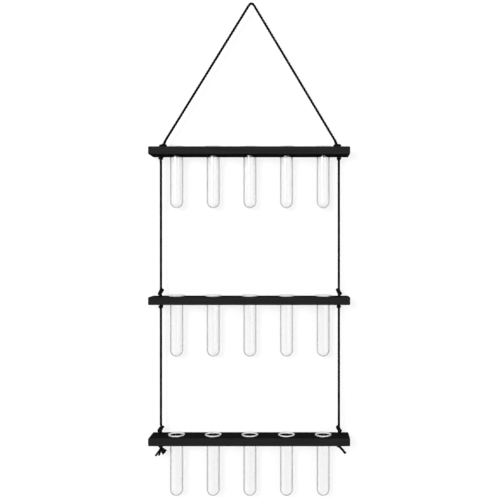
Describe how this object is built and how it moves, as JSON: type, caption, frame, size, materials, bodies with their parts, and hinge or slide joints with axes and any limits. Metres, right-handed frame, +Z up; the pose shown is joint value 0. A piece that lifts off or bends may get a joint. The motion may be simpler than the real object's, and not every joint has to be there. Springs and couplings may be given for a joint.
{
  "type": "propagation vase",
  "caption": "Wall-hung propagation rack: bars on a knotted cord, each below the last, holding rows of round-bottomed test-tube vases for cuttings and single stems.",
  "frame": {"origin": "top of the nail, at the middle of the cord that lies on it, on the cord's inner side", "axes": "+X along the bars, to the right seen from the front, +Y towards the wall, +Z up"},
  "size_m": [0.38, 0.045, 0.9419],
  "materials": {
    "bars": "satin black paint",
    "tubes": "clear, polished",
    "cord": "matte twisted cord"
  },
  "bodies": {
    "hanger": {"cord_hanger": "cord"},
    "first_bar": {"bar_1": "bars", "tied_cords_1": "cord"},
    "middle_cords": {"cord_mid_left": "cord", "cord_mid_right": "cord"},
    "second_bar": {"bar_2": "bars", "tied_cords_2": "cord"},
    "low_cords": {"cord_low_left": "cord", "cord_low_right": "cord"},
    "third_bar": {"bar_3": "bars", "tied_cords_3": "cord"},
    "vase_1_1": {"tube_1_1": "tubes"},
    "vase_1_2": {"tube_1_2": "tubes"},
    "vase_1_3": {"tube_1_3": "tubes"},
    "vase_1_4": {"tube_1_4": "tubes"},
    "vase_1_5": {"tube_1_5": "tubes"},
    "vase_2_1": {"tube_2_1": "tubes"},
    "vase_2_2": {"tube_2_2": "tubes"},
    "vase_2_3": {"tube_2_3": "tubes"},
    "vase_2_4": {"tube_2_4": "tubes"},
    "vase_2_5": {"tube_2_5": "tubes"},
    "vase_3_1": {"tube_3_1": "tubes"},
    "vase_3_2": {"tube_3_2": "tubes"},
    "vase_3_3": {"tube_3_3": "tubes"},
    "vase_3_4": {"tube_3_4": "tubes"},
    "vase_3_5": {"tube_3_5": "tubes"}
  },
  "joints": [
    {"name": "first_bar_swing", "type": "hinge", "parent": "hanger", "child": "first_bar", "pos_m": [-0.003, 0, -0.26044], "axis": [1, 0, 0], "range_deg": [-15, 15]},
    {"name": "middle_cords_swing", "type": "hinge", "parent": "first_bar", "child": "middle_cords", "pos_m": [-0.003, 0, -0.30212], "axis": [1, 0, 0], "range_deg": [-15, 15]},
    {"name": "second_bar_swing", "type": "hinge", "parent": "middle_cords", "child": "second_bar", "pos_m": [-0.003, 0, -0.5405], "axis": [1, 0, 0], "range_deg": [-15, 15]},
    {"name": "low_cords_swing", "type": "hinge", "parent": "second_bar", "child": "low_cords", "pos_m": [-0.003, 0, -0.58562], "axis": [1, 0, 0], "range_deg": [-15, 15]},
    {"name": "third_bar_swing", "type": "hinge", "parent": "low_cords", "child": "third_bar", "pos_m": [-0.003, 0, -0.8023], "axis": [1, 0, 0], "range_deg": [-15, 15]},
    {"name": "vase_1_1_lift", "type": "slide", "parent": "first_bar", "child": "vase_1_1", "axis": [0, 0, 1], "range_m": [0, 0.015]},
    {"name": "vase_1_2_lift", "type": "slide", "parent": "first_bar", "child": "vase_1_2", "axis": [0, 0, 1], "range_m": [0, 0.118]},
    {"name": "vase_1_3_lift", "type": "slide", "parent": "first_bar", "child": "vase_1_3", "axis": [0, 0, 1], "range_m": [0, 0.118]},
    {"name": "vase_1_4_lift", "type": "slide", "parent": "first_bar", "child": "vase_1_4", "axis": [0, 0, 1], "range_m": [0, 0.118]},
    {"name": "vase_1_5_lift", "type": "slide", "parent": "first_bar", "child": "vase_1_5", "axis": [0, 0, 1], "range_m": [0, 0.015]},
    {"name": "vase_2_1_lift", "type": "slide", "parent": "second_bar", "child": "vase_2_1", "axis": [0, 0, 1], "range_m": [0, 0.118]},
    {"name": "vase_2_2_lift", "type": "slide", "parent": "second_bar", "child": "vase_2_2", "axis": [0, 0, 1], "range_m": [0, 0.118]},
    {"name": "vase_2_3_lift", "type": "slide", "parent": "second_bar", "child": "vase_2_3", "axis": [0, 0, 1], "range_m": [0, 0.118]},
    {"name": "vase_2_4_lift", "type": "slide", "parent": "second_bar", "child": "vase_2_4", "axis": [0, 0, 1], "range_m": [0, 0.118]},
    {"name": "vase_2_5_lift", "type": "slide", "parent": "second_bar", "child": "vase_2_5", "axis": [0, 0, 1], "range_m": [0, 0.118]},
    {"name": "vase_3_1_lift", "type": "slide", "parent": "third_bar", "child": "vase_3_1", "axis": [0, 0, 1], "range_m": [0, 0.118]},
    {"name": "vase_3_2_lift", "type": "slide", "parent": "third_bar", "child": "vase_3_2", "axis": [0, 0, 1], "range_m": [0, 0.118]},
    {"name": "vase_3_3_lift", "type": "slide", "parent": "third_bar", "child": "vase_3_3", "axis": [0, 0, 1], "range_m": [0, 0.118]},
    {"name": "vase_3_4_lift", "type": "slide", "parent": "third_bar", "child": "vase_3_4", "axis": [0, 0, 1], "range_m": [0, 0.118]},
    {"name": "vase_3_5_lift", "type": "slide", "parent": "third_bar", "child": "vase_3_5", "axis": [0, 0, 1], "range_m": [0, 0.118]}
  ]
}
